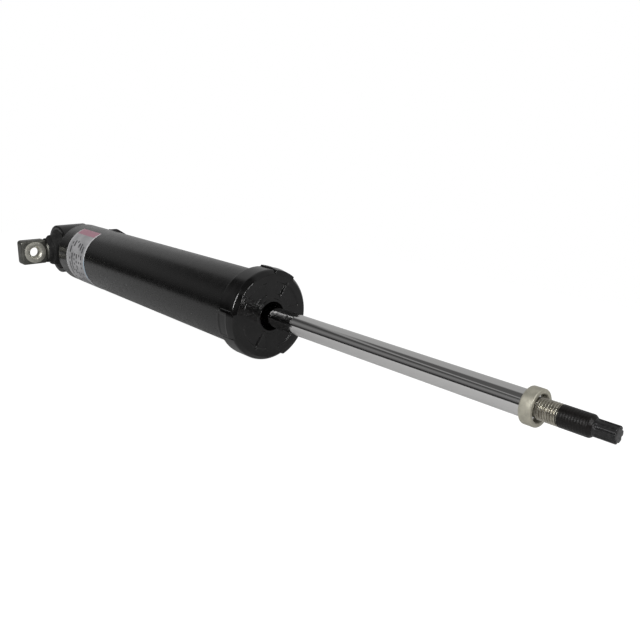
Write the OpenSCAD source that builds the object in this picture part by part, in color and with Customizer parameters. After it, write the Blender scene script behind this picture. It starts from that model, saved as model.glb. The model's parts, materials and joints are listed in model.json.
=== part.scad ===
// Telescopic shock absorber: twin-tube damper with a bar-pin eye and a threaded stud.
// Origin: centre of the eye and its bar pin. +X runs along the damper towards the stud's tip,
// +Z is up, and the bar pin lies along Y.

/* [Reserve tube] */
// Outer diameter of the reserve tube
tube_d = 49; // [49:0.1:49.4]
// Wall thickness of the reserve tube
tube_wall = 1.8; // [1.6:0.1:1.8]
// Distance from the eye's centre to the rear end of the reserve tube
tube_rear = 28; // [28:0.1:28.4]
// Distance from the eye's centre to the front end of the reserve tube
tube_front = 287.4; // [287.2:0.1:287.4]

/* [Eye and bar pin] */
// Outer diameter of the eye ring
eye_d = 42; // [40:0.5:42]
// Width of the eye ring
eye_w = 26; // [24:0.5:27]
// Wall thickness of the eye ring
eye_wall = 3.8; // [3:0.1:4.5]
// Diameter of the bar pin's round middle
pin_mid_d = 18; // [16:0.5:19]
// Length of the bar pin, end to end
pin_len = 94; // [90:1:100]
// Height of the bar pin's flat lugs
lug_h = 20.6; // [20:0.2:21]
// Thickness of the bar pin's flat lugs
lug_t = 11; // [10:0.5:12]
// Distance between the two bolt holes
hole_pitch = 71; // [70:0.5:72]
// Diameter of a bolt hole
hole_d = 8.4; // [8:0.1:9]
// Diameter of the raised seat around a bolt hole
seat_d = 18.4; // [16:0.2:19]

/* [Striker cap] */
// Distance from the eye's centre to the cap's rear edge
cap_rear = 279.5; // [279:0.1:280]
// Distance from the eye's centre to the cap's front face
cap_face = 295.8; // [295:0.1:296.5]
// Outer diameter of the cap between its raised pads
cap_d = 56.4; // [56:0.1:57]
// How far the raised pads stand out of the cap
pad_h = 0.9; // [0.6:0.1:1.2]
// Angle that each raised pad covers
pad_span = 32; // [24:1:40]
// Diameter of the hole that the rod comes out of
cap_hole_d = 15; // [14.5:0.1:16]

/* [Rod] */
// Diameter of the chromed rod
rod_d = 12.5; // [12.46:0.01:12.52]
// Distance from the eye's centre to the rod's front shoulder
rod_shoulder = 479; // [478.5:0.1:479.5]
// Outer diameter of the threaded stud
stud_d = 10; // [9.9:0.02:10]
// Distance from the eye's centre to the end of the thread
stud_end = 504; // [500:1:506]
// Diameter of the fluted tip
tip_d = 7.7; // [7:0.1:8]
// Length of the fluted tip
tip_len = 9.5; // [8:0.5:12]
// Outer diameter of the collar on the rod's shoulder
collar_d = 17.2; // [16.6:0.2:18]
// Length of the collar
collar_len = 6; // [5:0.5:7]

/* [Label] */
// Distance from the eye's centre to the label's rear edge
label_rear = 46.3; // [44:0.1:50]
// Width of the label along the tube
label_w = 34.5; // [30:0.5:36]

/* [Hidden] */
$fn = 96;

gap = 0.03;                        // fixed pieces stand this far apart
run = 0.04;                        // radial clearance of a running fit
tube_r = tube_d / 2;
tube_in = tube_r - tube_wall;      // 22.7
lip_t = 1.8;                       // thickness of the tube's rolled ends
rear_roll = 3;                     // outer radius of the roll at the rear end
front_roll = 2;                    // outer radius of the roll at the front end
eye_r = eye_d / 2;
eye_in = eye_r - eye_wall;
pin_r = pin_mid_d / 2;
lug_y = 25;                        // where the flat lugs begin, from the middle of the pin
rod_r = rod_d / 2;
bore_r = 15;                       // inner radius of the pressure tube
sleeve_r = 16.5;                   // outer radius of the pressure tube
sleeve_rear = 38.5;                // the pressure tube stands on the base valve here
sleeve_front = 268;                // and meets the rod guide here
cap_r = cap_d / 2;
bolt_r = 3;                        // base valve bolt
neck_r = 4;                        // rod's rear stud, which carries the piston
port_pcd_r = 11.3;                 // radius of the ring of large valve ports
plate_t = 0.75;                    // thickness of a check plate
leaf_t = 0.3;                      // thickness of a star spring
piston_rear = 226;                 // rear face of the piston
piston_front = 238;                // front face of the piston
disc_t = 0.35;                     // thickness of one valve disc

// A solid turned about the X axis; each point is [radius, place along X].
module turned(points) {
    rotate([0, 90, 0]) rotate_extrude() polygon(points);
}

// A plain ring about the X axis.
module ring(x0, x1, r_in, r_out) {
    turned([[r_in, x0], [r_out, x0], [r_out, x1], [r_in, x1]]);
}

// A rod along X.
module bar_x(x0, x1, r) {
    translate([x0, 0, 0]) rotate([0, 90, 0]) cylinder(r = r, h = x1 - x0);
}

// A hexagon along X, given across its flats, with a round hole.
module hex_ring(x0, x1, flats, hole_r) {
    difference() {
        translate([x0, 0, 0]) rotate([0, 90, 0]) cylinder(d = flats / cos(30), h = x1 - x0, $fn = 6);
        bar_x(x0 - 1, x1 + 1, hole_r);
    }
}

// Copies of the children at even steps around the X axis, the first one at angle first.
module around(count, first = 0) {
    for (i = [0:count - 1]) rotate([first + i * 360 / count, 0, 0]) children();
}

// A prism along X that holds the angles from a0 to a1, less than half a turn apart.
// Angle 0 is +Z and angles grow towards -Y.
module wedge(x0, x1, a0, a1, r) {
    mid = (a0 + a1) / 2;
    reach = r / cos((a1 - a0) / 4);
    rotate([90, 0, 90]) translate([0, 0, x0]) linear_extrude(x1 - x0)
        polygon([[0, 0], for (a = [a0, mid, a1]) [-reach * sin(a), reach * cos(a)]]);
}

// Points of an arc for a turned outline.
function arc(cr, cx, r, a0, a1, steps = 8) =
    [for (i = [0:steps]) let (a = a0 + (a1 - a0) * i / steps) [cr + r * cos(a), cx + r * sin(a)]];

// ---- housing ----

module reserve_tube() {
    lip_rear_r = 20.3;
    lip_front_r = 18;
    color("#141414") turned(concat(
        [[lip_rear_r, tube_rear]],
        arc(tube_r - rear_roll, tube_rear + rear_roll, rear_roll, -90, 0),
        arc(tube_r - front_roll, tube_front - front_roll, front_roll, 0, 90),
        [[lip_front_r, tube_front], [lip_front_r, tube_front - lip_t],
         [tube_in, tube_front - lip_t], [tube_in, tube_rear + lip_t],
         [lip_rear_r, tube_rear + lip_t]]));
}

// Outline of the domed closure's outer side, moved back by the given shift.
function dome(shift) = [[0, eye_r + gap - shift], [9, eye_r + gap - shift],
    [13.5, 22.4 - shift], [17.8, 25.6 - shift], [20.1, 29.2 - shift]];

module base_cap() {
    flange = tube_rear + lip_t + gap;
    color("#181818") turned(concat(dome(0),
        [[20.1, flange], [tube_in - gap, flange], [tube_in - gap, 36], [19.6, 36],
         [19, 32.5], [17, 29], [12.2, 29], [10.5, 25], [0, 25]]));
}

module eye_ring() {
    edge = 0.8;                    // chamfer of the ring's outer edges
    half = eye_w / 2;
    color("#141414") rotate([90, 0, 0]) rotate_extrude() polygon([[eye_in, -half],
        [eye_r - edge, -half], [eye_r, edge - half], [eye_r, half - edge],
        [eye_r - edge, half], [eye_in, half]]);
}

module eye_weld() {
    bead_r = 3.1;
    bead_len = 22;
    color("#1c1c1c") difference() {
        for (side = [-1, 1]) translate([21.8, 0, side * 10.6]) rotate([90, 0, 0])
            cylinder(r = bead_r, h = bead_len, center = true, $fn = 48);
        rotate([90, 0, 0]) cylinder(r = eye_r + gap, h = bead_len + 4, center = true);
        turned(concat(dome(gap), [[20.1, 40], [0, 40]]));
    }
}

module rubber_bushing() {
    half = eye_w / 2;
    neck = 13.2;                   // radius of the part that stands out of the ring
    reach = 20.5;                  // how far that part reaches along the pin
    lip_r = 10.6;                  // thin lip that wraps the pin up to its lugs
    lip_y = lug_y - gap - 0.3;
    color("#1a1a1a") rotate([90, 0, 0]) rotate_extrude() polygon([[pin_r + run, -lip_y],
        [lip_r, -lip_y], [lip_r, -reach], [neck - 1.2, -reach], [neck, 1.2 - reach], [neck + 0.8, -half - 1.5],
        [eye_in - gap, -half - 0.2], [eye_in - gap, half + 0.2], [neck + 0.8, half + 1.5],
        [neck, reach - 1.2], [neck - 1.2, reach], [lip_r, reach], [lip_r, lip_y],
        [pin_r + run, lip_y]]);
}

// Outline of both lugs, in Y and Z, with rounded outer corners.
module lug_outline() {
    corner = 2.4;
    for (side = [0, 1]) mirror([side, 0]) {
        translate([lug_y, -lug_h / 2 + corner])
            square([pin_len / 2 - lug_y, lug_h - 2 * corner]);
        translate([lug_y, -lug_h / 2]) square([pin_len / 2 - lug_y - corner, lug_h]);
        for (z = [-1, 1]) translate([pin_len / 2 - corner, z * (lug_h / 2 - corner)])
            circle(r = corner, $fn = 48);
    }
}

module bar_pin() {
    seat_h = 0.5;                  // height of the raised seat
    face_x = lug_t / 2 + seat_h;
    lead_in = 1.4;                 // depth of the hole's countersunk mouth
    relief_r = 6.2;                // wider rear half of the hole
    color("#55564f") difference() {
        union() {
            rotate([90, 0, 0]) cylinder(r = pin_r, h = 2 * lug_y + 1, center = true);
            translate([-lug_t / 2, 0, 0]) rotate([90, 0, 90]) linear_extrude(lug_t) lug_outline();
            for (side = [-1, 1]) translate([0, side * hole_pitch / 2, 0])
                bar_x(-face_x, face_x, seat_d / 2);
        }
        for (side = [-1, 1]) translate([0, side * hole_pitch / 2, 0]) {
            bar_x(-lug_t, lug_t, hole_d / 2);
            bar_x(-lug_t, -1.5, relief_r);
            translate([face_x - lead_in, 0, 0]) rotate([0, 90, 0])
                cylinder(r1 = hole_d / 2, r2 = hole_d / 2 + lead_in, h = lead_in);
        }
    }
}

module side_tab() {
    rear = 57;
    front = 71.5;
    rise = 2.1;
    width = 9.5;
    color("#161616") rotate([-34, 0, 0]) difference() {
        translate([0, width / 2, 0]) rotate([90, 0, 0]) linear_extrude(width)
            polygon([[rear, tube_r - 2], [front, tube_r - 2], [front, tube_r + rise],
                [front - 1.5, tube_r + rise], [rear, tube_r + 0.4]]);
        bar_x(rear - 1, front + 1, tube_r + gap);
    }
}

module label() {
    foil = 0.1;
    start = 18;
    end = 168;
    color("#8c8a8a") intersection() {
        ring(label_rear, label_rear + label_w, tube_r + gap, tube_r + gap + foil);
        wedge(label_rear - 1, label_rear + label_w + 1, start, end, tube_r + 5);
    }
}

// ---- striker cap ----

module cap_pads() {
    pad_r = cap_r + pad_h;
    edge = 0.4;
    intersection() {
        turned([[cap_r - 2, cap_rear], [pad_r, cap_rear], [pad_r, cap_face - edge],
            [pad_r - edge, cap_face], [cap_r - 4, cap_face]]);
        around(3, 96) wedge(cap_rear - 1, cap_face + 1, -pad_span / 2, pad_span / 2, cap_r + 5);
    }
}

module striker_cap() {
    bevel_x = 2.8;                 // bevelled shoulder, measured along the axis
    bevel_r = 2.5;                 // and across it
    seat = tube_front + gap;       // the cap stops against the tube's end
    hole_r = cap_hole_d / 2;
    mouth_r = 9.5;                 // flared mouth of the rod's hole
    boss_r = 11;
    boss_h = 0.8;
    pocket_r0 = 13.7;              // four shallow pockets between a cross of bars
    pocket_r1 = 21.2;
    pocket_h = 0.6;
    bar_half = 3.8;
    rib_w = 1.8;                   // a low rib along the middle of each pocket
    rib_h = 0.4;
    rib_r1 = 23.5;
    color("#101010") union() {
        difference() {
            turned([[tube_r + gap, cap_rear], [cap_r, cap_rear], [cap_r, cap_face - bevel_x],
                [cap_r - bevel_r, cap_face], [boss_r, cap_face],
                [boss_r - 0.6, cap_face + boss_h], [mouth_r, cap_face + boss_h],
                [hole_r, cap_face - 2.4], [hole_r, cap_face - 4], [20, cap_face - 4],
                [20, seat], [tube_r + gap, seat]]);
            around(4) intersection() {
                ring(cap_face - pocket_h, cap_face + 1, pocket_r0, pocket_r1);
                translate([cap_face - 1, -bar_half - pocket_r1, bar_half])
                    cube([2, pocket_r1, pocket_r1]);
            }
        }
        cap_pads();
        around(4, 57) translate([cap_face - 1, -rib_w / 2, pocket_r0 - 1])
            cube([1 + rib_h, rib_w, rib_r1 - pocket_r0 + 1]);
    }
}

// ---- base valve ----

module base_valve_body() {
    leg_x = 29 + gap;
    plate_x = 33;
    top_x = sleeve_rear + 6;
    color("#8a8f93") difference() {
        turned([[bolt_r + gap, plate_x], [13, plate_x], [13, leg_x], [sleeve_r - 0.05, leg_x],
            [sleeve_r - 0.05, sleeve_rear], [bore_r - gap, sleeve_rear], [bore_r - gap, top_x],
            [6.2, top_x], [6.2, top_x + plate_t + 2 * gap], [bolt_r + gap, top_x + plate_t + 2 * gap]]);
        around(8) translate([0, 0, port_pcd_r]) bar_x(plate_x - 1, top_x + 1, 1.3);
        around(4, 22.5) translate([0, 0, 7.9]) bar_x(plate_x - 1, top_x + 1, 0.9);
        around(4, 45) translate([leg_x - 1, -3, 10]) cube([plate_x - leg_x, 6, 8]);
    }
}

module base_valve_bolt() {
    head_front = 33 - 3 * (disc_t + gap) - gap;
    color("#b9b9b4") union() {
        hex_ring(head_front - 3.4, head_front, 10, 1);
        bar_x(head_front - 3.4, 50.6, bolt_r);
    }
}

module base_valve_nut() {
    rear = sleeve_rear + 6 + plate_t + leaf_t + 4 * gap;
    color("#b9b9b4") hex_ring(rear, rear + 4.2, 10, bolt_r + gap);
}

module base_comp_discs() {
    color("#c8c9c6") for (i = [0:2])
        ring(33 - (i + 1) * (disc_t + gap), 33 - (i + 1) * (disc_t + gap) + disc_t,
            bolt_r + gap, 9.4 - 1.2 * i);
}

module base_check_plate() {
    rear = sleeve_rear + 6 + gap;
    color("#c8c9c6") ring(rear, rear + plate_t, 9.6, 13.4);
}

// Flat star spring: a hub with six arms and a thin outer rim.
module star_spring(x, hole_r) {
    ring(x, x + leaf_t, hole_r, 6.2);
    ring(x, x + leaf_t, 11.4, 12.6);
    around(6) translate([x, -0.7, 5.6]) cube([leaf_t, 1.4, 6.4]);
}

module base_check_spring() {
    color("#d4d4cf") star_spring(sleeve_rear + 6 + plate_t + 3 * gap, bolt_r + gap);
}

// ---- pressure tube, rod guide and seal ----

module pressure_tube() {
    color("#9fa3a6") ring(sleeve_rear + gap, sleeve_front - gap, bore_r, sleeve_r);
}

module rod_guide() {
    front = 281;
    bush_r = rod_r + 0.95 + gap;
    groove_x = 271;
    color("#8f9294") difference() {
        turned([[bush_r, sleeve_front - 8], [bore_r - gap, sleeve_front - 8],
            [bore_r - gap, sleeve_front], [tube_in - gap, sleeve_front], [tube_in - gap, groove_x],
            [20.5, groove_x], [20.5, groove_x + 2.4], [tube_in - gap, groove_x + 2.4],
            [tube_in - gap, front], [10.5, front], [10.5, 276], [bush_r, 276]]);
        around(4, 45) translate([0, 0, 18.6]) bar_x(sleeve_front - 1, front + 1, 1.3);
    }
}

module guide_bush() {
    color("#7c6a45") ring(sleeve_front - 7.5, 275.5, rod_r + run, rod_r + 0.95);
}

module guide_o_ring() {
    wire = 1.05;
    color("#202020") rotate([0, 90, 0]) rotate_extrude()
        translate([tube_in - 2 * gap - wire, 272.2]) circle(r = wire, $fn = 32);
}

module oil_seal() {
    lip = rod_r + run;
    base = 281 + gap;
    top = base + 2.9;
    color("#26201c") turned([[lip, base - 3.4], [lip, base - 2.4], [7, base - 0.8], [7, base + 1.6],
        [lip, base + 3.2], [lip, base + 3.9], [7.6, base + 3.9], [8.6, top], [tube_in - gap, top],
        [tube_in - gap, base], [10.2, base], [10.2, base - 1.1], [7.7, base - 1.6],
        [7.7, base - 3.8], [7, base - 3.8]]);
}

module garter_spring() {
    wire = 0.6;
    color("#c2c2bd") rotate([0, 90, 0]) rotate_extrude()
        translate([7.7 + gap + wire, 278.5]) circle(r = wire, $fn = 24);
}

module seal_cover() {
    color("#6f7274") ring(283.93 + gap, tube_front - lip_t - gap, 9.2, tube_in - gap);
}

// ---- rod and piston ----

module piston_rod() {
    rear = 213.4;
    neck_end = 241.3;
    edge = 0.7;                    // chamfer of the rod's front shoulder
    tip_start = stud_end + 1.5;
    tip_end = tip_start + tip_len;
    color("#c9cbcc") difference() {
        turned([[0, rear], [neck_r - 0.6, rear], [neck_r, rear + 0.6], [neck_r, neck_end],
            [rod_r, neck_end], [rod_r, rod_shoulder - edge], [rod_r - edge, rod_shoulder],
            [stud_d / 2, rod_shoulder], [stud_d / 2, stud_end], [tip_d / 2, tip_start],
            [tip_d / 2, tip_end - 0.5], [tip_d / 2 - 0.5, tip_end], [0, tip_end]]);
        around(6) translate([0, 0, tip_d / 2 + 0.35]) bar_x(tip_start + 0.8, tip_end + 1, 0.95);
    }
}

module rod_collar() {
    front = rod_shoulder + 2;
    edge = 0.5;
    r = collar_d / 2;
    hole = rod_r + gap;
    color("#a7a89c") turned([[hole, front - collar_len], [r - edge, front - collar_len],
        [r, front - collar_len + edge], [r, front - edge], [r - edge, front], [hole, front]]);
}

module rebound_stop() {
    color("#85888a") ring(246, 250, rod_r + gap, 10);
}

module rebound_bumper() {
    r = 10.8;
    color("#2a2622") turned([[rod_r + gap, 250 + gap], [r - 0.8, 250 + gap], [r, 251],
        [r, 254], [r - 1.2, 254.9], [r, 255.8], [r, 258.6], [r - 0.8, 259.5], [rod_r + gap, 259.5]]);
}

module piston() {
    r = bore_r - 0.35;
    groove = 1.35;
    hub_front = piston_front + plate_t + 2 * gap;
    color("#6d6f70") difference() {
        turned([[neck_r + gap, piston_rear], [r, piston_rear], [r, piston_rear + 2],
            [r - groove, piston_rear + 2], [r - groove, piston_front - 2], [r, piston_front - 2],
            [r, piston_front], [6.2, piston_front], [6.2, hub_front], [neck_r + gap, hub_front]]);
        around(8) translate([0, 0, port_pcd_r]) bar_x(piston_rear - 1, piston_front + 1, 1.3);
        around(6, 15) translate([0, 0, 7.8]) bar_x(piston_rear - 1, piston_front + 1, 1);
    }
}

module piston_band() {
    color("#3b4a44") ring(piston_rear + 2 + gap, piston_front - 2 - gap, bore_r - 1.7 + run,
        bore_r - run);
}

module rebound_discs() {
    color("#c8c9c6") for (i = [0:3])
        ring(piston_rear - (i + 1) * (disc_t + gap), piston_rear - (i + 1) * (disc_t + gap) + disc_t,
            neck_r + gap, 9.4 - 0.9 * i);
}

module piston_check_plate() {
    color("#c8c9c6") ring(piston_front + gap, piston_front + gap + plate_t, 9.6, 13.4);
}

module piston_check_spring() {
    color("#d4d4cf") star_spring(piston_front + plate_t + 3 * gap, neck_r + gap);
}

module piston_stop_washer() {
    rear = piston_front + plate_t + leaf_t + 4 * gap;
    color("#9a9c9d") turned([[neck_r + gap, rear], [8.8, rear], [9.2, rear + 0.7], [12.8, rear + 0.7],
        [12.8, 241.3 - gap], [neck_r + gap, 241.3 - gap]]);
}

module piston_nut() {
    front = piston_rear - 4 * (disc_t + gap) - gap;
    color("#b9b9b4") union() {
        hex_ring(front - 7.6, front - 1, 13, neck_r + gap);
        ring(front - 2, front, neck_r + gap, 7.5);
    }
}

reserve_tube();
base_cap();
eye_ring();
eye_weld();
rubber_bushing();
bar_pin();
side_tab();
label();
striker_cap();
pressure_tube();
base_valve_body();
base_valve_bolt();
base_valve_nut();
base_comp_discs();
base_check_plate();
base_check_spring();
rod_guide();
guide_bush();
guide_o_ring();
oil_seal();
garter_spring();
seal_cover();
piston_rod();
rod_collar();
rebound_stop();
rebound_bumper();
piston();
piston_band();
rebound_discs();
piston_check_plate();
piston_check_spring();
piston_stop_washer();
piston_nut();
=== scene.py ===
"""Looks of the telescopic shock absorber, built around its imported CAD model."""
import json
import math

import bpy
import numpy as np
from mathutils import Matrix, Quaternion, Vector


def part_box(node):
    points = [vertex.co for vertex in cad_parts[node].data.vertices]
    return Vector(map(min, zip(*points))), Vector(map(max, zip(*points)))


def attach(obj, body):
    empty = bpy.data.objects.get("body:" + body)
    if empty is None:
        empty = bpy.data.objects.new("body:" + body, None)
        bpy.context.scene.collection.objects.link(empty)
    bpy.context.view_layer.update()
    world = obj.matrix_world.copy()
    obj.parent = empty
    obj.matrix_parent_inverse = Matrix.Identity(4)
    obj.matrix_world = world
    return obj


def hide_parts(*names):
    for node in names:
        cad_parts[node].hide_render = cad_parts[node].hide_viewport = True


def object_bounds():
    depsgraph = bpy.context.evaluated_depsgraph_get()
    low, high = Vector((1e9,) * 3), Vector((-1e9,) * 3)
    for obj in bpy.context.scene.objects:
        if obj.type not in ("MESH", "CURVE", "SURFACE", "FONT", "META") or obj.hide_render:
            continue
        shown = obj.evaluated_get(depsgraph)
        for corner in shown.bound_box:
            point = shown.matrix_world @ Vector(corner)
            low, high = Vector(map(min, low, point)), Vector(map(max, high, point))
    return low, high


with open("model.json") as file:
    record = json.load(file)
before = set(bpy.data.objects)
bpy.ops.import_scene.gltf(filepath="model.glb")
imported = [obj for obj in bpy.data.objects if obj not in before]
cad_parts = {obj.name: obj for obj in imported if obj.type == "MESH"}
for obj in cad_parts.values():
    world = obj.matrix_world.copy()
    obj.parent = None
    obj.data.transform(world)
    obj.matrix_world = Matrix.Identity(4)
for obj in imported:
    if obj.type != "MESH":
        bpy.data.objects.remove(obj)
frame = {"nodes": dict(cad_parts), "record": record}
cad_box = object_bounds()

MM = 0.001
TAU = 2 * math.pi


# ---------------------------------------------------------------- places taken from the frame

def box_mm(node):
    """Lowest and highest corner of a CAD node, in millimetres."""
    low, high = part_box(node)
    return np.array(low) / MM, np.array(high) / MM


tube_low, tube_high = box_mm("reserve_tube")
cap_low, cap_high = box_mm("striker_cap")
eye_high = box_mm("eye_ring")[1]
bush_high = box_mm("rubber_bushing")[1]
pin_high = box_mm("bar_pin")[1]
weld_high = box_mm("eye_weld")[1]
dome_low = box_mm("base_cap")[0]
label_low, label_high = box_mm("label")
tab_low, tab_high = box_mm("side_tab")
rod_low, rod_high = box_mm("piston_rod")
collar_low, collar_high = box_mm("rod_collar")

TUBE_R = tube_high[2]
TUBE_WALL = 1.8
TUBE_IN = TUBE_R - TUBE_WALL
EYE_R = eye_high[2]
EYE_WALL = 3.8
EYE_HALF = eye_high[1]
ROD_R = rod_high[2]

# the bar pin's lugs: place and radius of the bolt hole, radius of its raised seat, inner end of the lug
HOLE_Y = 35.5
HOLE_R = 4.2
SEAT_R = 9.2
LUG_Y = 25.0

# the rod's stud: its thread runs from the shoulder to STUD_END, and is coated from COATED_FROM on
STUD_R = 5.0
SHOULDER_X = 479.0
STUD_END = 504.0
PITCH = 1.25
COATED_FROM = 490.3
PISTON_SHOULDER_X = 241.3


# ---------------------------------------------------------------- mesh tools

def new_piece(name, verts, faces, material, body, slot, nodes=(), sharp=38):
    """A smooth-shaded mesh object, given in millimetres, that rides on a body."""
    mesh = bpy.data.meshes.new(name)
    mesh.from_pydata([tuple(v) for v in np.asarray(verts, float) * MM], [], faces)
    mesh.validate()
    mesh.polygons.foreach_set("use_smooth", [True] * len(mesh.polygons))
    mesh.set_sharp_from_angle(angle=math.radians(sharp))
    mesh.materials.append(material)
    piece = bpy.data.objects.new(name, mesh)
    bpy.context.scene.collection.objects.link(piece)
    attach(piece, body)
    if nodes:
        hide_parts(*nodes)
    return piece


def sheet_faces(rows, cols, first=0, close_rows=False, flip=False):
    """Quads of a grid of points whose columns run all the way round."""
    faces = []
    for i in range(rows if close_rows else rows - 1):
        a, b = first + i * cols, first + ((i + 1) % rows) * cols
        for j in range(cols):
            k = (j + 1) % cols
            quad = (a + j, a + k, b + k, b + j)
            faces.append(quad[::-1] if flip else quad)
    return faces


def filleted(points, steps=4):
    """Rounds the corners of an open outline. A point is (radius, place) or (radius, place, fillet)."""
    out = [tuple(points[0][:2])]
    for before, here, after in zip(points, points[1:], points[2:]):
        fillet = here[2] if len(here) > 2 else 0
        p = np.array(here[:2], float)
        to_a, to_b = np.array(before[:2]) - p, np.array(after[:2]) - p
        len_a, len_b = np.linalg.norm(to_a), np.linalg.norm(to_b)
        if fillet <= 0 or min(len_a, len_b) < 1e-9:
            out.append(tuple(p))
            continue
        to_a, to_b = to_a / len_a, to_b / len_b
        half = math.acos(np.clip(to_a @ to_b, -1, 1)) / 2
        cut = min(fillet / math.tan(half), 0.48 * len_a, 0.48 * len_b)
        start, end = p + to_a * cut, p + to_b * cut
        centre = p + (to_a + to_b) / np.linalg.norm(to_a + to_b) * cut / math.cos(half)
        ray_a, ray_b = start - centre, end - centre
        turn = math.atan2(ray_a[0] * ray_b[1] - ray_a[1] * ray_b[0], ray_a @ ray_b)
        for i in range(steps + 1):
            t = turn * i / steps
            out.append((centre[0] + ray_a[0] * math.cos(t) - ray_a[1] * math.sin(t),
                        centre[1] + ray_a[0] * math.sin(t) + ray_a[1] * math.cos(t)))
    out.append(tuple(points[-1][:2]))
    return out


def turned(outline, cols=144, axis="x", closed=False):
    """Vertices and faces of an outline turned about an axis. Angle 0 is +Z and angles grow towards -Y."""
    rows = [p for p in outline]
    angles = np.arange(cols) * TAU / cols
    verts = []
    for radius, place in rows:
        if axis == "x":
            ring = [(place, -radius * math.sin(a), radius * math.cos(a)) for a in angles]
        else:
            ring = [(radius * math.sin(a), place, radius * math.cos(a)) for a in angles]
        verts.extend(ring)
    faces = sheet_faces(len(rows), cols, close_rows=closed)
    if not closed:
        for row, flip in ((0, True), (len(rows) - 1, False)):
            loop = [row * cols + j for j in range(cols)]
            faces.append(tuple(loop[::-1] if flip else loop))
    return np.array(verts), faces


def turned_piece(name, outline, material, body, slot, nodes=(), cols=144, axis="x", closed=False):
    verts, faces = turned(outline, cols, axis, closed)
    return new_piece(name, verts, faces, material, body, slot, nodes)


def merge(parts):
    """Joins several (vertices, faces) shells into one."""
    verts, faces, first = [], [], 0
    for v, f in parts:
        verts.append(np.asarray(v))
        faces.extend(tuple(i + first for i in face) for face in f)
        first += len(v)
    return np.concatenate(verts), faces


def smoothstep(low, high, x):
    t = np.clip((x - low) / (high - low), 0, 1)
    return t * t * (3 - 2 * t)


# ---------------------------------------------------------------- material tools

class Surface:
    """A node material built step by step around one Principled shader."""

    def __init__(self, name):
        self.material = bpy.data.materials.new(name)
        self.material.use_nodes = True
        self.nodes = self.material.node_tree.nodes
        self.links = self.material.node_tree.links
        self.shader = next(n for n in self.nodes if n.type == "BSDF_PRINCIPLED")
        self.place = self.nodes.new("ShaderNodeTexCoord").outputs["Object"]

    def set(self, **values):
        for key, value in values.items():
            socket = self.shader.inputs[key.replace("_", " ")]
            socket.default_value = (*value, 1) if isinstance(value, tuple) else value
        return self

    def link(self, source, socket):
        self.links.new(source, self.shader.inputs[socket])
        return self

    def stretched(self, x, y, z):
        node = self.nodes.new("ShaderNodeMapping")
        node.inputs["Scale"].default_value = (x, y, z)
        self.links.new(self.place, node.inputs["Vector"])
        return node.outputs["Vector"]

    def noise(self, per_mm, detail=4, rough=0.55, vector=None):
        node = self.nodes.new("ShaderNodeTexNoise")
        node.inputs["Scale"].default_value = per_mm / MM
        node.inputs["Detail"].default_value = detail
        node.inputs["Roughness"].default_value = rough
        self.links.new(vector or self.place, node.inputs["Vector"])
        return node.outputs["Fac"]

    def spots(self, per_mm, randomness=1.0):
        node = self.nodes.new("ShaderNodeTexVoronoi")
        node.inputs["Scale"].default_value = per_mm / MM
        node.inputs["Randomness"].default_value = randomness
        self.links.new(self.place, node.inputs["Vector"])
        return node.outputs["Distance"]

    def math(self, operation, a, b=None, clamp=False):
        node = self.nodes.new("ShaderNodeMath")
        node.operation = operation
        node.use_clamp = clamp
        for socket, value in zip(node.inputs, (a, b)):
            if value is None:
                continue
            if isinstance(value, (int, float)):
                socket.default_value = value
            else:
                self.links.new(value, socket)
        return node.outputs[0]

    def span(self, value, low, high, to_low=0.0, to_high=1.0, smooth=True):
        node = self.nodes.new("ShaderNodeMapRange")
        node.interpolation_type = "SMOOTHSTEP" if smooth else "LINEAR"
        self.links.new(value, node.inputs["Value"])
        for key, number in (("From Min", low), ("From Max", high), ("To Min", to_low), ("To Max", to_high)):
            node.inputs[key].default_value = number
        return node.outputs["Result"]

    def mix(self, factor, a, b):
        node = self.nodes.new("ShaderNodeMix")
        node.data_type = "RGBA"
        self.links.new(factor, node.inputs["Factor"])
        for socket, value in ((node.inputs[6], a), (node.inputs[7], b)):
            if isinstance(value, tuple):
                socket.default_value = (*value, 1)
            else:
                self.links.new(value, socket)
        return node.outputs[2]

    def axis(self, name):
        node = self.nodes.new("ShaderNodeSeparateXYZ")
        self.links.new(self.place, node.inputs[0])
        return node.outputs[name]

    def bump(self, height, depth_mm, strength=1.0):
        node = self.nodes.new("ShaderNodeBump")
        node.inputs["Distance"].default_value = depth_mm * MM
        node.inputs["Strength"].default_value = strength
        self.links.new(height, node.inputs["Height"])
        before = self.shader.inputs["Normal"].links
        if before:
            self.links.new(before[0].from_socket, node.inputs["Normal"])
        return self.link(node.outputs["Normal"], "Normal")


def enamel(name, shade, rough=(0.26, 0.36), peel=0.02):
    """Black enamel: slight orange peel, soft dust and a faint mottling of its gloss."""
    s = Surface(name)
    s.set(IOR=1.5, Coat_Weight=0.0)
    dust = s.math("MULTIPLY", s.span(s.noise(0.06, 5), 0.5, 0.75), s.span(s.noise(1.3, 3), 0.45, 0.7))
    s.link(s.mix(dust, shade, tuple(c * 2.2 + 0.003 for c in shade)), "Base Color")
    s.link(s.span(s.noise(0.25, 5), 0.3, 0.7, rough[0], rough[1]), "Roughness")
    s.bump(s.noise(0.55, 2), peel)
    s.bump(s.noise(4.0, 2), 0.004)
    return s.material


def moulded(name, shade, rough=(0.1, 0.18)):
    """Glossy moulded nylon with faint flow marks."""
    s = Surface(name)
    s.set(IOR=1.5, Specular_IOR_Level=0.4)
    flow = s.noise(0.12, 4, vector=s.stretched(2.5, 1, 1))
    s.link(s.mix(s.span(flow, 0.35, 0.7), shade, tuple(c * 1.7 + 0.002 for c in shade)), "Base Color")
    s.link(s.span(s.noise(0.5, 5), 0.3, 0.72, rough[0], rough[1]), "Roughness")
    s.bump(s.noise(0.35, 2), 0.02)
    s.bump(s.noise(3.0, 3), 0.004)
    return s.material


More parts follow.
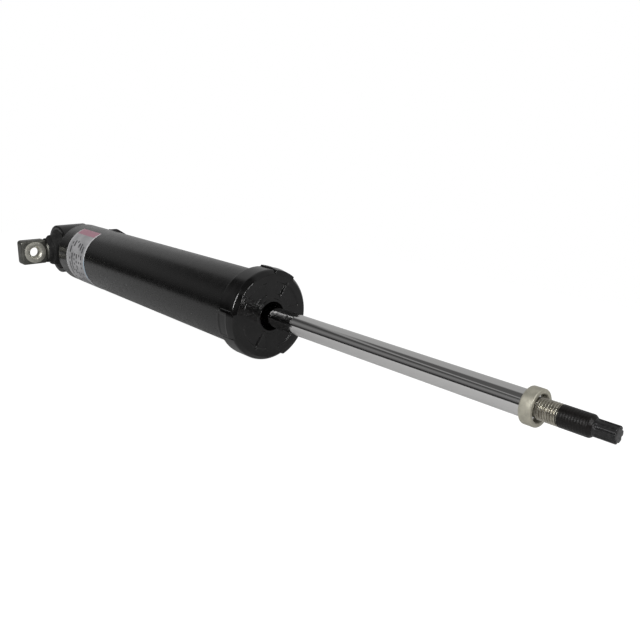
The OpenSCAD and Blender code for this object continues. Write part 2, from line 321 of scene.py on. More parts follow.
def rubber(name, shade):
    s = Surface(name)
    s.set(IOR=1.48, Specular_IOR_Level=0.4)
    bloom = s.span(s.noise(0.35, 5), 0.4, 0.75)
    s.link(s.mix(bloom, shade, tuple(c * 1.8 + 0.006 for c in shade)), "Base Color")
    s.link(s.span(s.noise(1.0, 4), 0.3, 0.7, 0.58, 0.8), "Roughness")
    s.bump(s.noise(2.2, 4), 0.03)
    return s.material


def plated(name, shade, tint, rough=(0.3, 0.45), grain=0.012, metal=1.0):
    """Plated or phosphated steel with cloudy tone and a fine grain."""
    s = Surface(name)
    s.set(Metallic=metal)
    cloud = s.span(s.noise(0.3, 6, 0.6), 0.32, 0.7)
    s.link(s.mix(cloud, shade, tint), "Base Color")
    s.link(s.span(s.noise(1.1, 5), 0.3, 0.7, rough[0], rough[1]), "Roughness")
    s.bump(s.noise(2.5, 4), grain)
    return s.material


def chromed(name):
    """Hard chrome, ground round: fine rings that hardly break the mirror."""
    s = Surface(name)
    s.set(Base_Color=(0.62, 0.615, 0.61), Metallic=1.0)
    rings = s.noise(1.0, 4, 0.6, s.stretched(9.0, 0.05, 0.05))
    s.link(s.span(rings, 0.25, 0.8, 0.045, 0.11), "Roughness")
    s.bump(rings, 0.0012)
    s.bump(s.noise(0.05, 2), 0.012)
    return s.material


def spring_metal(name, shade, rough=(0.22, 0.34)):
    s = Surface(name)
    s.set(Metallic=1.0)
    lines = s.noise(0.8, 4, 0.6, s.stretched(1, 0.15, 6))
    s.link(s.mix(s.span(lines, 0.35, 0.7), shade, tuple(c * 0.8 for c in shade)), "Base Color")
    s.link(s.span(s.noise(0.9, 4), 0.3, 0.7, rough[0], rough[1]), "Roughness")
    s.bump(lines, 0.006)
    return s.material


def sintered(name, shade):
    s = Surface(name)
    s.set(Metallic=0.85)
    # Pores are pits in the bump, and the base colour is darkened in them as painted shade in the pits.
    pore_pits_and_shade = s.span(s.spots(2.2), 0.0, 0.35)
    s.link(s.mix(pore_pits_and_shade, tuple(c * 0.35 for c in shade), shade), "Base Color")
    s.link(s.span(s.noise(0.8, 4), 0.3, 0.7, 0.42, 0.6), "Roughness")
    s.bump(pore_pits_and_shade, 0.03)
    return s.material


BLACK = enamel("black_enamel", (0.0022, 0.0021, 0.0021), (0.21, 0.29))
WELD = enamel("weld_enamel", (0.004, 0.004, 0.004), (0.3, 0.42), 0.05)
CAP = moulded("cap_nylon", (0.0014, 0.0013, 0.0013))
RUBBER = rubber("bush_rubber", (0.007, 0.007, 0.0068))
SEAL = rubber("seal_rubber", (0.018, 0.016, 0.015))
CHROME = chromed("rod_chrome")
ZINC = plated("zinc_plate", (0.4, 0.385, 0.32), (0.5, 0.48, 0.4), (0.46, 0.62), 0.012, 0.75)
BARE = plated("bare_steel", (0.5, 0.5, 0.5), (0.6, 0.6, 0.6), (0.24, 0.36))
LEAF = spring_metal("spring_steel", (0.62, 0.62, 0.6))
SINTER = sintered("sintered_iron", (0.3, 0.3, 0.3))
BRONZE = plated("bush_bronze", (0.42, 0.32, 0.18), (0.5, 0.39, 0.23), (0.3, 0.42))
BAND = rubber("band_ptfe", (0.1, 0.14, 0.12))


def lug_steel():
    """Dark zinc-phosphate lugs whose raised seats around the holes are lighter."""
    s = Surface("lug_steel")
    s.set(Metallic=0.9)
    y = s.math("SUBTRACT", s.math("ABSOLUTE", s.axis("Y")), HOLE_Y * MM)
    z = s.axis("Z")
    reach = s.math("SQRT", s.math("ADD", s.math("MULTIPLY", y, y), s.math("MULTIPLY", z, z)))
    ragged = s.math("ADD", reach, s.math("MULTIPLY", s.noise(0.8, 4), 0.9 * MM))
    seat = s.span(ragged, (SEAT_R + 0.6) * MM, (SEAT_R + 0.1) * MM)
    cloud = s.span(s.noise(0.25, 6, 0.62), 0.3, 0.72)
    dark = s.mix(cloud, (0.1, 0.1, 0.09), (0.165, 0.165, 0.147))
    light = s.mix(cloud, (0.5, 0.49, 0.43), (0.66, 0.65, 0.58))
    s.link(s.mix(seat, dark, light), "Base Color")
    s.link(s.span(s.noise(0.9, 5), 0.3, 0.7, 0.36, 0.52), "Roughness")
    s.bump(s.noise(0.5, 5), 0.06)
    s.bump(s.noise(3.0, 3), 0.01)
    return s.material


# ---------------------------------------------------------------- housing pieces

def make_tube():
    """The reserve tube, rolled over at both ends."""
    rear, front = tube_low[0], tube_high[0]
    lip = TUBE_WALL
    rear_mouth, front_mouth = 20.3, 18.0
    outline = filleted([
        (TUBE_IN, rear + 60), (TUBE_IN, rear + lip, 0.2), (rear_mouth, rear + lip, 0.4),
        (rear_mouth, rear, 0.5), (TUBE_R, rear, 3.2), (TUBE_R, front, 2.0),
        (front_mouth, front, 0.4), (front_mouth, front - lip, 0.3),
        (TUBE_IN, front - lip, 0.2), (TUBE_IN, rear + 61)], steps=7)
    return turned_piece("tube_shell", outline, BLACK, "tube_body", "black_paint",
                        ["reserve_tube"], cols=192, closed=True)


def make_dome():
    """The closure in the tube's rear end, dished towards the eye."""
    contact = dome_low[0]
    outline = filleted([
        (0.01, contact), (9.0, contact, 3), (13.5, 22.4, 4), (17.8, 25.6, 3), (20.1, 29.2, 0.6),
        (20.1, 29.83, 0.05), (22.6, 29.83, 0.3), (22.6, 36.0, 0.3), (19.6, 36.0, 0.3),
        (19.0, 32.5, 1), (17.0, 29.0, 0.6), (12.2, 29.0, 0.5), (10.5, 25.0, 1), (0.01, 25.0)])
    return turned_piece("domed_closure", outline, BLACK, "tube_body", "black_paint", ["base_cap"])


def make_eye():
    """The eye's steel loop, with its axis across the damper."""
    inner = EYE_R - EYE_WALL
    h = EYE_HALF
    outline = filleted([(inner, 0.5), (inner, h, 0.5), (EYE_R, h, 1.1), (EYE_R, -h, 1.1),
                        (inner, -h, 0.5), (inner, 0.4)])
    return turned_piece("eye_loop", outline, BLACK, "tube_body", "black_paint", ["eye_ring"],
                        axis="y", closed=True)


def make_weld():
    """Two rippled beads in the corners between the eye loop and the domed closure."""
    rows, cols = 150, 28
    half = weld_high[1]
    ripple_pitch, bead_r = 1.7, 2.9
    shells = []
    for side in (-1, 1):
        verts = []
        for i in range(rows):
            t = i / (rows - 1)
            y = -half + 2 * half * t
            end = math.sqrt(max(0.0, 1 - (2 * t - 1) ** 6))
            ripple = 1 + 0.05 * math.sin(y * TAU / ripple_pitch) + 0.03 * math.sin(y * 2.1 + side)
            size = bead_r * end * ripple + 0.02
            bow = 0.045 * y * y / half
            for j in range(cols):
                a = TAU * j / cols
                lag = 0.28 * math.cos(a) * math.sin(y * TAU / ripple_pitch)
                verts.append((21.7 + size * math.cos(a) + bow * 0.6, y + lag,
                              side * (10.7 - bow) + size * 0.92 * math.sin(a)))
        faces = sheet_faces(rows, cols)
        faces.append(tuple(range(cols))[::-1])
        faces.append(tuple((rows - 1) * cols + j for j in range(cols)))
        shells.append((np.array(verts), faces))
    verts, faces = merge(shells)
    return new_piece("eye_weld_beads", verts, faces, WELD, "tube_body", "weld_bead", ["eye_weld"])


def make_bush():
    """The rubber bush: a barrel between the loop and the pin, with a thin lip at each end."""
    reach = bush_high[1]
    hole = 9.06
    neck_y = reach - 4.0
    half = [(hole, 0.3), (hole, reach, 0.4), (10.6, reach, 0.5), (10.7, neck_y, 0.8),
            (12.9, neck_y, 1.3), (13.3, 17.0, 1.5), (14.2, EYE_HALF + 1.6, 1.0),
            (17.1, EYE_HALF + 0.25, 0.6), (17.1, EYE_HALF - 1.5)]
    outline = filleted(half + [(r, -y, *f) for r, y, *f in half[::-1]])
    return turned_piece("rubber_bush", outline, RUBBER, "tube_body", "bush_rubber",
                        ["rubber_bushing"], axis="y", closed=True)


def make_tab():
    """Small folded tab, welded to the upper back of the tube."""
    rear, front = tab_low[0], tab_high[0]
    turn = math.radians(-34)
    half = 9.5 / 2
    lift_rear, lift_more = 0.35, 1.75
    edge_w, edge_drop = 0.9, 0.35
    across = [-half, -half + 0.25, -half + 0.9, -half + 2, 0, half - 2, half - 0.9, half - 0.25, half]
    along = np.linspace(rear, front, 24)
    top, under = [], []
    for x in along:
        share = (x - rear) / (front - rear)
        rise = lift_rear + lift_more * smoothstep(0, 0.9, share) * (1 - 0.18 * smoothstep(0.93, 1, share))
        for w in across:
            edge = max(0.0, abs(w) - (half - edge_w)) / edge_w
            drop = edge_drop * (1 - math.sqrt(max(0.0, 1 - edge * edge)))
            base = math.sqrt(TUBE_R ** 2 - w * w)
            top.append((x, w, max(TUBE_R + rise - drop, base + 0.1)))
            under.append((x, w, base - 0.3))
    n, m = len(along), len(across)
    verts = np.array(top + under)
    k = n * m
    faces = []
    for i in range(n - 1):
        for j in range(m - 1):
            a, b, c, d = i * m + j, i * m + j + 1, (i + 1) * m + j + 1, (i + 1) * m + j
            faces += [(a, d, c, b), (k + a, k + b, k + c, k + d)]
        for j, flip in ((0, False), (m - 1, True)):
            a, d = i * m + j, (i + 1) * m + j
            quad = (a, k + a, k + d, d)
            faces.append(quad[::-1] if flip else quad)
    for i, flip in ((0, True), (n - 1, False)):
        for j in range(m - 1):
            a, b = i * m + j, i * m + j + 1
            quad = (a, k + a, k + b, b)
            faces.append(quad[::-1] if flip else quad)
    y, z = verts[:, 1].copy(), verts[:, 2].copy()
    verts[:, 1] = y * math.cos(turn) - z * math.sin(turn)
    verts[:, 2] = y * math.sin(turn) + z * math.cos(turn)
    return new_piece("welded_tab", verts, faces, BLACK, "tube_body", "black_paint", ["side_tab"])


# ---------------------------------------------------------------- striker cap

def capsule_depth(y, z, angle, r0, r1, half_width, soft):
    """1 inside a radial slot or rib with round ends, falling to 0 over the soft edge."""
    a = math.radians(angle)
    along = -y * math.sin(a) + z * math.cos(a)
    across = y * math.cos(a) + z * math.sin(a)
    beyond = np.maximum(np.maximum(r0 + half_width - along, along - r1 + half_width), 0)
    reach = np.hypot(across, beyond)
    return 1 - smoothstep(half_width - soft, half_width, reach)


def cap_face_height(y, z):
    """How far the cap's face stands out of its flat plane at (y, z), in millimetres."""
    radius = np.hypot(y, z)
    ring_band = smoothstep(13.3, 14.0, radius) * (1 - smoothstep(20.7, 21.4, radius))
    across = np.minimum(np.abs(y), np.abs(z))
    pocket, rib_rise = 0.6, 0.4
    height = -pocket * ring_band * smoothstep(3.5, 4.1, across)
    for angle in (57, 147, 237, 327):
        rib = capsule_depth(y, z, angle, 12.0, 23.5, 1.3, 1.1)
        height += rib * (rib_rise - np.minimum(height, 0))
    return height


def make_cap():
    """The striker cap: bevelled skirt with three pads, ribbed face, boss and hollow inside."""
    rear, front = cap_low[0], cap_high[0]
    boss = 0.8
    face = front - boss
    bore, seat_x = TUBE_R + 0.06, tube_high[0] + 0.05
    skirt_r, pad_r, face_r, hole_r, cavity_r = 28.2, 29.1, 24.8, 7.5, 20.0
    bevel, floor_x = 2.9, face - 4.0
    pad_centre, pad_apart, pad_end, groove_end = 96, 120, 16.0, 18.4
    panel_cut, groove_cut = 0.22, 0.75
    cols = 720
    angles = np.arange(cols) * TAU / cols
    plain = filleted([
        (bore, rear + 3), (bore, rear, 0.5), (skirt_r, rear, 0.7), (skirt_r, face - bevel, 3.6),
        (25.75, face, 1.0), (face_r, face)], steps=6)
    proud = filleted([
        (bore, rear + 3), (bore, rear, 0.5), (pad_r, rear, 0.5), (pad_r, face - 6.5, 2.0),
        (skirt_r, face - 0.6, 0.5), (face_r, face)], steps=6)
    inside = filleted([
        (11.3, face), (11.0, face, 0.3), (10.4, front, 0.3), (9.1, front, 0.35),
        (hole_r, face - 2.4, 0.8), (hole_r, floor_x, 0.3), (cavity_r, floor_x, 0.5),
        (cavity_r, seat_x, 0.3), (bore, seat_x, 0.3), (bore, rear + 4)], steps=5)
    off = np.abs((np.degrees(angles) - pad_centre + pad_apart / 2) % pad_apart - pad_apart / 2)
    pad = 1 - smoothstep(pad_end - 0.3, pad_end + 0.3, off)
    rows = [(ra + (rb - ra) * pad, xa + (xb - xa) * pad) for (ra, xa), (rb, xb) in zip(plain, proud)]
    rows = densify(rows, skirt_r)
    groove = smoothstep(16.3, 16.6, off) * (1 - smoothstep(groove_end - 0.2, groove_end + 0.2, off))
    panel = (1 - smoothstep(12.4, 13.2, off)) * pad
    for row in rows:
        along = smoothstep(rear + 2.0, rear + 2.7, row[1])
        cut = panel_cut * panel * along * (1 - smoothstep(face - 7.5, face - 6.7, row[1]))
        cut = cut + groove_cut * groove * along * (1 - smoothstep(face - 3.6, face - 3.0, row[1]))
        row[0][:] = row[0] - cut * (row[0] > skirt_r - 0.05)
    for r in np.linspace(24.7, 11.3, 54):
        y, z = -r * np.sin(angles), r * np.cos(angles)
        rows.append((np.full(cols, r), face + cap_face_height(y, z)))
    rows += [(np.full(cols, r), np.full(cols, x)) for r, x in inside]
    verts = np.concatenate([np.stack([x, -r * np.sin(angles), r * np.cos(angles)], 1) for r, x in rows])
    faces = sheet_faces(len(rows), cols, close_rows=True)
    return new_piece("bump_stop_cap", verts, faces, CAP, "tube_body", "cap_plastic", ["striker_cap"])


def densify(rows, skirt_r, step=0.6):
    """Adds rings along the skirt so that its pads can carry a shallow panel."""
    out = [[rows[0][0].copy(), rows[0][1].copy()]]
    for before, here in zip(rows, rows[1:]):
        length = float(np.max(np.hypot(here[0] - before[0], here[1] - before[1])))
        outer = before[0].min() >= skirt_r - 0.2 and here[0].min() >= skirt_r - 0.2
        parts = max(1, int(length / step)) if outer else 1
        for i in range(1, parts + 1):
            t = i / parts
            out.append([before[0] * (1 - t) + here[0] * t, before[1] * (1 - t) + here[1] * t])
    return out


# ---------------------------------------------------------------- bar pin

def lug_shell(side):
    """One flat lug: closed loops around the bolt hole, from the hole's wall out to the rounded rim."""
    cols = 120
    thick, seat = 5.5, 6.0
    angles = np.arange(cols) * TAU / cols
    inner_y, outer_y, half_h, corner = LUG_Y - HOLE_Y, pin_high[1] - HOLE_Y, 10.3, 2.6

    def rim(shrink):
        """Distance from the hole's axis to the lug's rounded outline, at each angle."""
        out = []
        for a in angles:
            c, s = math.cos(a), math.sin(a)
            low, high = 0.0, 60.0
            for _ in range(30):
                mid = (low + high) / 2
                y, z = mid * c, mid * s
                near_y = min(max(y, inner_y + corner), outer_y - corner)
                near_z = min(max(z, -half_h + corner), half_h - corner)
                if math.hypot(y - near_y, z - near_z) <= corner - shrink:
                    low = mid
                else:
                    high = mid
            out.append(low)
        return np.array(out)

    circle = np.ones(cols)
    edge = 1.6
    rims = [rim(edge * (1 - math.sin(math.pi / 2 * i / 6))) for i in range(7)]

    def face_rows(side_x, mouth_r):
        """Rings of one face, from the hole's mouth out to the middle of the lug's edge."""
        rows = [(circle * r, h) for r, h in (
            (mouth_r - 0.25, seat - 0.22), (mouth_r, seat - 0.04), (mouth_r + 0.3, seat),
            (SEAT_R - 0.5, seat), (SEAT_R - 0.15, seat - 0.08), (SEAT_R, seat - 0.3),
            (SEAT_R + 0.12, seat - 0.47))]
        start = np.minimum(circle * (SEAT_R + 0.25), rims[0] - 0.05)
        for t in (0.0, 0.15, 0.35, 0.6, 0.85, 1.0):
            rows.append((start * (1 - t) + rims[0] * t, thick))
        for i in range(1, 7):
            rows.append((rims[i], thick - edge * (1 - math.cos(math.pi / 2 * i / 6))))
        return [(r, side_x * h) for r, h in rows]

    bore = [(circle * 6.2, -1.7), (circle * 6.0, -1.5), (circle * (HOLE_R + 0.2), -1.5),
            (circle * HOLE_R, -1.3), (circle * HOLE_R, 4.4), (circle * (HOLE_R + 0.15), 4.7)]
    rows = bore + face_rows(1, HOLE_R + 1.4) + face_rows(-1, 6.5)[::-1]
    verts = []
    for r, h in rows:
        for a, reach in zip(angles, r):
            verts.append((h, side * (HOLE_Y + reach * math.cos(a)), side * reach * math.sin(a)))
    return np.array(verts), sheet_faces(len(rows), cols, close_rows=True)


def make_pin():
    """The forged cross pin: a round middle and a flat lug at each end."""
    root = LUG_Y + 0.6
    middle = turned(filleted([(0.01, -root), (7.9, -root, 0.8), (9.0, -root + 1.4, 0.8),
                              (9.0, root - 1.4, 0.8), (7.9, root, 0.8), (0.01, root)]), 96, "y")
    verts, faces = merge([lug_shell(1), lug_shell(-1), middle])
    return new_piece("bar_pin_forging", verts, faces, lug_steel(), "bar_pin_body", "dark_steel", ["bar_pin"])


# ---------------------------------------------------------------- rod

def stud_materials():
    """Zinc for the bare thread, dark locking patch for the coated one, phosphate for the tip."""
    zinc = Surface("thread_zinc")
    zinc.set(Metallic=1.0)
    cloud = zinc.span(zinc.noise(0.5, 5), 0.3, 0.7)
    zinc.link(zinc.mix(cloud, (0.3, 0.28, 0.24), (0.46, 0.44, 0.38)), "Base Color")
    zinc.link(zinc.span(zinc.noise(1.5, 4), 0.3, 0.7, 0.24, 0.4), "Roughness")
    zinc.bump(zinc.noise(2.5, 3), 0.01)
    coat = Surface("thread_coating")
    coat.set(IOR=1.5, Specular_IOR_Level=0.25)
    patch = coat.span(coat.noise(0.6, 5), 0.45, 0.75)
    coat.link(coat.mix(patch, (0.003, 0.0022, 0.0018), (0.007, 0.005, 0.0044)), "Base Color")
    coat.link(coat.span(coat.noise(1.2, 4), 0.3, 0.7, 0.32, 0.5), "Roughness")
    coat.bump(coat.noise(1.4, 4), 0.03)
    tip = Surface("tip_phosphate")
    tip.set(Metallic=0.35, IOR=1.5)
    grey = tip.span(tip.noise(0.7, 5), 0.35, 0.7)
    tip.link(tip.mix(grey, (0.009, 0.009, 0.0095), (0.024, 0.023, 0.024)), "Base Color")
    tip.link(tip.span(tip.noise(1.3, 4), 0.3, 0.7, 0.3, 0.46), "Roughness")
    tip.bump(tip.noise(2.0, 3), 0.012)
    return zinc.material, coat.material, tip.material


def thread_depth(phase):
    """Share of the thread's depth, for a phase of 0 to 1 along one pitch."""
    t = abs(phase - 0.5) * 2
    return smoothstep(0.12, 0.88, t)


def make_stud(zinc, coat, tip_metal):
    """Thread, coated thread and fluted tip as three turned shells that share their end rings."""
    cols = 96
    angles = np.arange(cols) * TAU / cols
    share = angles / TAU
    tip_start, tip_end = STUD_END + 1.5, rod_high[0]
    full_depth, coat_fill, undercut = 0.70, 0.66, 0.45
    tip_r, tip_root, flute_cut = 3.85, 3.6, 0.75

    def ring(x, r):
        x = np.full(cols, float(x))
        r = r if isinstance(r, np.ndarray) else np.full(cols, float(r))
        return np.stack([x, -r * np.sin(angles), r * np.cos(angles)], 1)

    def radius(x):
        depth = full_depth
        if x > COATED_FROM:
            depth = full_depth - coat_fill * float(smoothstep(COATED_FROM, COATED_FROM + 0.8, x))
        clear = smoothstep(SHOULDER_X + 0.6, SHOULDER_X + 2.2, x)
        fade = float(clear * (1 - smoothstep(STUD_END - 1.2, STUD_END, x)))
        under = undercut * float(1 - clear)
        phase = (x / PITCH - share) % 1.0
        return STUD_R - 0.01 - under - depth * fade * thread_depth(phase)

    def shell(rings):
        verts = np.concatenate(rings)
        faces = sheet_faces(len(rings), cols)
        faces.append(tuple(range(cols))[::-1])
        faces.append(tuple((len(rings) - 1) * cols + j for j in range(cols)))
        return verts, faces

    step = PITCH / 14
    bare = [ring(x, radius(x)) for x in np.arange(SHOULDER_X - 1.0, COATED_FROM + step / 2, step)]
    coated = [ring(x, radius(x)) for x in np.arange(COATED_FROM, STUD_END - 0.6, step)]
    coated += [ring(STUD_END + dx, r) for dx, r in (
        (-0.5, 4.97), (-0.1, 4.9), (0.3, 4.62), (0.8, 4.22), (1.2, 3.95), (1.5, tip_root))]
    flute = np.cos(6 * angles)

    def tip_radius(x):
        cut = flute_cut * float(smoothstep(tip_start + 0.5, tip_start + 1.6, x))
        return tip_r - cut * smoothstep(-0.1, 0.95, flute)

    tip = [ring(tip_start - 0.6, tip_root)]
    tip += [ring(x, tip_radius(x)) for x in np.linspace(tip_start - 0.1, tip_end - 0.6, 24)]
    for dx, inset in ((0.4, 0.05), (0.22, 0.16), (0.08, 0.34), (0.0, 0.6)):
        tip.append(ring(tip_end - dx, tip_radius(tip_end) - inset))
    tip.append(ring(tip_end, tip_radius(tip_end) * 0.45))
    for name, rings, metal, slot in (("stud_thread", bare, zinc, "zinc_steel"),
                                     ("stud_thread_coated", coated, coat, "dark_steel"),
                                     ("stud_fluted_tip", tip, tip_metal, "dark_steel")):
        new_piece(name, *shell(rings), metal, "rod_body", slot, ["piston_rod"], sharp=50)


def make_rod():
    """The chromed shank, from the piston's neck to the front shoulder."""
    outline = filleted([
        (0.01, rod_low[0]), (4.0, rod_low[0], 0.6), (4.0, PISTON_SHOULDER_X, 0.1),
        (ROD_R, PISTON_SHOULDER_X, 0.15),
        (ROD_R, SHOULDER_X, 0.7), (STUD_R - 0.6, SHOULDER_X, 0.2), (STUD_R - 0.6, SHOULDER_X + 0.3),
        (0.01, SHOULDER_X + 0.3)])
    return turned_piece("rod_shank", outline, CHROME, "rod_body", "rod_chrome", ["piston_rod"], cols=128)


def make_collar():
    """The plated collar on the rod's front shoulder."""
    rear, front = collar_low[0], collar_high[0]
    r = collar_high[2]
    hole = ROD_R + 0.05
    outline = filleted([
        (hole, rear + 2), (hole, rear, 0.25), (r, rear, 0.7), (r, front, 0.7), (hole + 0.35, front, 0.25),
        (hole, front - 0.6, 0.1), (hole, rear + 2.1)], steps=5)
    return turned_piece("zinc_collar", outline, ZINC, "rod_body", "zinc_steel", ["rod_collar"],
                        cols=128, closed=True)


# ---------------------------------------------------------------- label

def label_material():
    """Grey film with a pink band, a pale border, a blue edge and rows of plain bars."""
    s = Surface("label_film")
    bar_rows, bar_cells = 8.0, 34.0
    uv = s.nodes.new("ShaderNodeUVMap")
    split = s.nodes.new("ShaderNodeSeparateXYZ")
    s.links.new(uv.outputs[0], split.inputs[0])
    u, v = split.outputs["X"], split.outputs["Y"]
    film = s.mix(s.span(s.noise(0.08, 4), 0.3, 0.7), (0.29, 0.29, 0.297), (0.42, 0.417, 0.425))
    cells = s.nodes.new("ShaderNodeTexWhiteNoise")
    cells.noise_dimensions = "2D"
    pair = s.nodes.new("ShaderNodeCombineXYZ")
    s.links.new(s.math("FLOOR", s.math("MULTIPLY", u, bar_rows)), pair.inputs["X"])
    s.links.new(s.math("FLOOR", s.math("MULTIPLY", v, bar_cells)), pair.inputs["Y"])
    s.links.new(pair.outputs[0], cells.inputs["Vector"])
    on = s.math("GREATER_THAN", cells.outputs["Value"], 0.42)
    across_row = s.math("FRACT", s.math("MULTIPLY", u, bar_rows))
    in_row = s.math("MULTIPLY", s.math("GREATER_THAN", across_row, 0.3), s.math("LESS_THAN", across_row, 0.78))
    area = s.math("MULTIPLY", s.math("MULTIPLY", s.span(u, 0.1, 0.12), s.span(u, 0.86, 0.84)),
                  s.math("MULTIPLY", s.span(v, 0.2, 0.22), s.span(v, 0.84, 0.82)))
    bars = s.math("MULTIPLY", s.math("MULTIPLY", on, in_row), area)
    colour = s.mix(s.math("MULTIPLY", bars, 0.9), film, (0.035, 0.035, 0.04))
    pink = s.span(v, 0.11, 0.1)
    colour = s.mix(pink, colour, (0.4, 0.2, 0.25))
    border = s.math("MAXIMUM", s.span(u, 0.045, 0.03), s.span(u, 0.93, 0.96))
    colour = s.mix(s.math("MULTIPLY", border, 0.85), colour, (0.62, 0.62, 0.63))
    blue_part = s.math("MULTIPLY", s.span(v, 0.38, 0.46), s.span(v, 0.72, 0.66))
    blue = s.math("MULTIPLY", s.span(u, 0.945, 0.965), blue_part)
    colour = s.mix(s.math("MULTIPLY", blue, 0.8), colour, (0.3, 0.42, 0.52))
    s.link(colour, "Base Color")
    s.set(IOR=1.45)
    s.link(s.span(s.noise(0.5, 4), 0.3, 0.7, 0.34, 0.46), "Roughness")
    s.bump(s.noise(0.12, 3), 0.05)
    return s.material


def make_label():
    """A thin film wrapped part of the way round the tube, with slightly drawn-in corners."""
    rows, cols = 30, 110
    corner, draw_in = 2.0, 0.55
    width = label_high[0] - label_low[0]
    start, end = math.radians(18.0), math.radians(168.0)
    low, high = TUBE_R + 0.02, TUBE_R + 0.12
    verts, uvs = [], []
    for layer in (high, low):
        for i in range(rows):
            u = i / (rows - 1)
            for j in range(cols):
                v = j / (cols - 1)
                du = min(u, 1 - u) * width
                dv = min(v, 1 - v) * (end - start) * TUBE_R
                pull = max(0.0, corner - du) * max(0.0, corner - dv) / corner ** 2
                x = label_low[0] + u * width + (draw_in * pull if u < 0.5 else -draw_in * pull)
                a = start + v * (end - start)
                verts.append((x, -layer * math.sin(a), layer * math.cos(a)))
                uvs.append((u, v))
    k = rows * cols
    faces = []
    for i in range(rows - 1):
        for j in range(cols - 1):
            a, b, c, d = i * cols + j, i * cols + j + 1, (i + 1) * cols + j + 1, (i + 1) * cols + j
            faces += [(a, b, c, d), (k + a, k + d, k + c, k + b)]
    rim = [(0, j) for j in range(cols)] + [(i, cols - 1) for i in range(1, rows)]
    rim += [(rows - 1, j) for j in range(cols - 2, -1, -1)] + [(i, 0) for i in range(rows - 2, 0, -1)]
    for (i, j), (m, n) in zip(rim, rim[1:] + rim[:1]):
        a, b = i * cols + j, m * cols + n
        faces.append((a, k + a, k + b, b))
    piece = new_piece("film_label", verts, faces, label_material(), "tube_body", "label_foil", ["label"])
    layer = piece.data.uv_layers.new(name="UVMap")
    for loop in piece.data.loops:
        layer.data[loop.index].uv = uvs[loop.vertex_index]
    return piece


# ---------------------------------------------------------------- finishes of the CAD nodes that stay

def finish_cad_nodes():
    """Gives every CAD node that stays in view a procedural material for its slot."""
    finishes = {
        "bare_steel": BARE, "sintered_iron": SINTER, "zinc_steel": ZINC, "spring_steel": LEAF,
        "bush_bronze": BRONZE, "seal_rubber": SEAL, "band_ptfe": BAND, "black_paint": BLACK}
    slots = {s["node"]: s["material_slot"] for s in frame["record"]["subparts"]}
    for name, node in frame["nodes"].items():
        if node.hide_render or slots[name] not in finishes:
            continue
        node.data.materials.clear()
        node.data.materials.append(finishes[slots[name]])


# ---------------------------------------------------------------- studio

def make_floor():
    """A plain pale board, one colour all over, that reaches a little way past the object on every side.

    It glows for camera rays only, so it looks white in the picture without lighting the object.
    """
    past_ends, past_sides = 0.28, 0.26
    pale, glow_strength, glow_share = 0.76, 1.2, 0.82
    z = cad_box[0].z
    x0, x1 = cad_box[0].x - past_ends, cad_box[1].x + past_ends
    y0, y1 = cad_box[0].y - past_sides, cad_box[1].y + past_sides
    mesh = bpy.data.meshes.new("floor")
    mesh.from_pydata([(x0, y0, z), (x1, y0, z), (x1, y1, z), (x0, y1, z)], [], [(0, 1, 2, 3)])
    floor = bpy.data.objects.new("floor", mesh)
    bpy.context.scene.collection.objects.link(floor)
    material = bpy.data.materials.new("pale_floor")
    material.use_nodes = True
    nodes, links = material.node_tree.nodes, material.node_tree.links
    nodes.clear()
    diffuse = nodes.new("ShaderNodeBsdfDiffuse")
    diffuse.inputs["Color"].default_value = (pale, pale, pale, 1)
    glow = nodes.new("ShaderNodeEmission")
    glow.inputs["Strength"].default_value = glow_strength
    ray = nodes.new("ShaderNodeLightPath")
    share = nodes.new("ShaderNodeMath")
    share.operation = "MULTIPLY"
    share.inputs[1].default_value = glow_share
    links.new(ray.outputs["Is Camera Ray"], share.inputs[0])
    mix = nodes.new("ShaderNodeMixShader")
    links.new(share.outputs[0], mix.inputs[0])
    links.new(diffuse.outputs[0], mix.inputs[1])
    links.new(glow.outputs[0], mix.inputs[2])
    links.new(mix.outputs[0], nodes.new("ShaderNodeOutputMaterial").inputs["Surface"])
    mesh.materials.append(material)


def make_world():
    """Grey card behind the object, and bands by height on the camera's side; white to camera rays."""
    behind = 0.5
    world = bpy.data.worlds.new("studio")
    bpy.context.scene.world = world
    world.use_nodes = True
    nodes, links = world.node_tree.nodes, world.node_tree.links
    nodes.clear()
    where = nodes.new("ShaderNodeTexCoord")
    split = nodes.new("ShaderNodeSeparateXYZ")
    links.new(where.outputs["Generated"], split.inputs[0])
    height = nodes.new("ShaderNodeMapRange")
    height.inputs["From Min"].default_value = -1
    links.new(split.outputs["Z"], height.inputs["Value"])
    ramp = nodes.new("ShaderNodeValToRGB")
    links.new(height.outputs[0], ramp.inputs[0])
    stops = [(-0.40, 0.48), (-0.156, 0.30), (-0.04, 0.04), (0.10, 0.045), (0.242, 0.20), (0.40, 0.26),
             (0.50, 0.17), (0.588, 0.055), (0.65, 0.13), (0.70, 0.44), (0.76, 0.12)]
    bands = ramp.color_ramp.elements
    while len(bands) < len(stops):
        bands.new(0.5)
    for band, (z, level) in zip(bands, stops):
        band.position = (z + 1) / 2
        band.color = (level, level, level, 1)
    side = nodes.new("ShaderNodeMapRange")
    side.interpolation_type = "SMOOTHSTEP"
    side.inputs["From Min"].default_value = 0.1
    side.inputs["From Max"].default_value = -0.1
    links.new(split.outputs["Y"], side.inputs["Value"])
    mix = nodes.new("ShaderNodeMix")
    mix.data_type = "RGBA"
    links.new(side.outputs[0], mix.inputs["Factor"])
    mix.inputs[6].default_value = (behind, behind, behind, 1)
    links.new(ramp.outputs[0], mix.inputs[7])
    ray = nodes.new("ShaderNodeLightPath")
    seen = nodes.new("ShaderNodeMix")
    seen.data_type = "RGBA"
    links.new(ray.outputs["Is Camera Ray"], seen.inputs["Factor"])
    links.new(mix.outputs[2], seen.inputs[6])
    seen.inputs[7].default_value = (1, 1, 1, 1)
    back = nodes.new("ShaderNodeBackground")
    links.new(seen.outputs[2], back.inputs["Color"])
    links.new(back.outputs[0], nodes.new("ShaderNodeOutputWorld").inputs["Surface"])


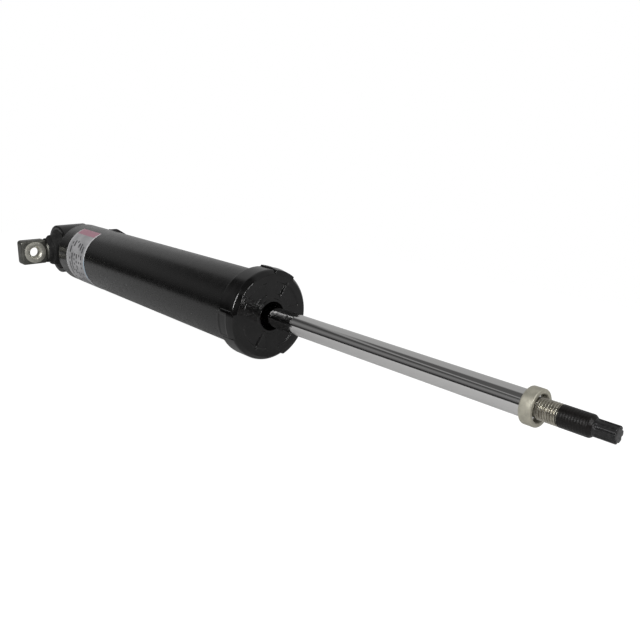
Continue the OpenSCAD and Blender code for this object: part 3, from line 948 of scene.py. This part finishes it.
def compass(azimuth, elevation):
    """Unit vector towards a direction given in degrees."""
    a, e = math.radians(azimuth), math.radians(elevation)
    return Vector((math.cos(e) * math.cos(a), math.cos(e) * math.sin(a), math.sin(e)))


def soft_strip(name, aim, start, end, distance, width, watts):
    """A long narrow soft box between two directions from aim, as azimuth and elevation in degrees."""
    a, b = compass(*start) * distance, compass(*end) * distance
    along = (b - a).normalized()
    middle = (a + b) / 2
    back = (middle - along * middle.dot(along)).normalized()
    light = bpy.data.lights.new(name, "AREA")
    light.shape = "RECTANGLE"
    light.size, light.size_y = (b - a).length, width
    light.energy = watts
    lamp = bpy.data.objects.new(name, light)
    bpy.context.scene.collection.objects.link(lamp)
    lamp.location = aim + middle
    lamp.rotation_mode = "QUATERNION"
    turn = Matrix((along, back.cross(along), back)).transposed()
    lamp.rotation_quaternion = turn.to_quaternion()


def make_camera():
    """The photograph's viewing angle: near the rod's free end, looking back along the damper."""
    data = bpy.data.cameras.new("camera")
    data.sensor_width = 36
    data.lens = 39.72
    camera = bpy.data.objects.new("camera", data)
    bpy.context.scene.collection.objects.link(camera)
    ahead = Vector((-0.71869, 0.64053, -0.27056))
    roll = math.radians(1.096)
    camera.location = (0.62482, -0.25366, 0.11448)
    camera.rotation_mode = "QUATERNION"
    camera.rotation_quaternion = ahead.to_track_quat("-Z", "Y") @ Quaternion((0, 0, 1), roll)
    data.clip_start, data.clip_end = 0.01, 50
    bpy.context.scene.camera = camera


make_tube()
make_dome()
make_eye()
make_weld()
make_bush()
make_tab()
make_cap()
make_pin()
make_rod()
make_stud(*stud_materials())
make_collar()
make_label()
finish_cad_nodes()
make_floor()
make_world()
cap_middle = Vector((cap_high[0] * MM, 0, 0))
STRIP_AWAY, STRIP_WIDTH = 1.1, 0.07
soft_strip("side_strip", cap_middle, (-88, 14), (-90, 44), STRIP_AWAY, STRIP_WIDTH, 5.6)
soft_strip("front_strip", cap_middle, (-24, 21), (2, 40), STRIP_AWAY, STRIP_WIDTH, 4.4)
make_camera()
bpy.context.scene.view_settings.view_transform = "Standard"
